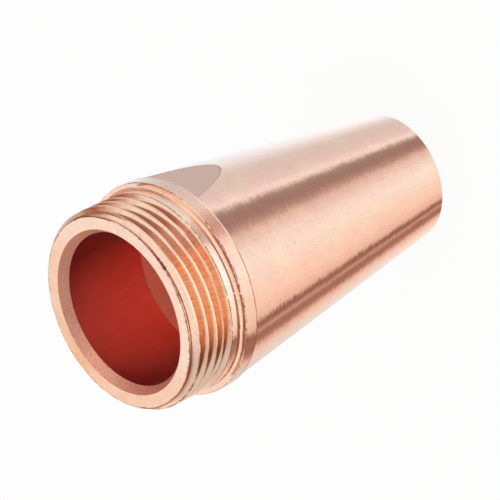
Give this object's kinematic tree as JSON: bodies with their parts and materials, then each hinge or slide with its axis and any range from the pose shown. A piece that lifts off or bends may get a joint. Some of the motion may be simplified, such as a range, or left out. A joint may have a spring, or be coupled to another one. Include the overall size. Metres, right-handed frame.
{
  "type": "plasma torch nozzle",
  "caption": "Conical copper torch nozzle with an external thread at the rear, a plain land, a collar, two spanner flats and a stepped through bore.",
  "frame": {"origin": "centre of the tip's end face, which the nozzle stands on", "axes": "+Z along the bore axis, from the tip up to the threaded end; the spanner flats face +X and -X"},
  "size_m": [0.0286, 0.0286, 0.0512],
  "materials": {
    "turned_copper": "bare copper, fine turned, satin"
  },
  "bodies": {
    "root": {"nozzle": "turned_copper"}
  },
  "joints": []
}
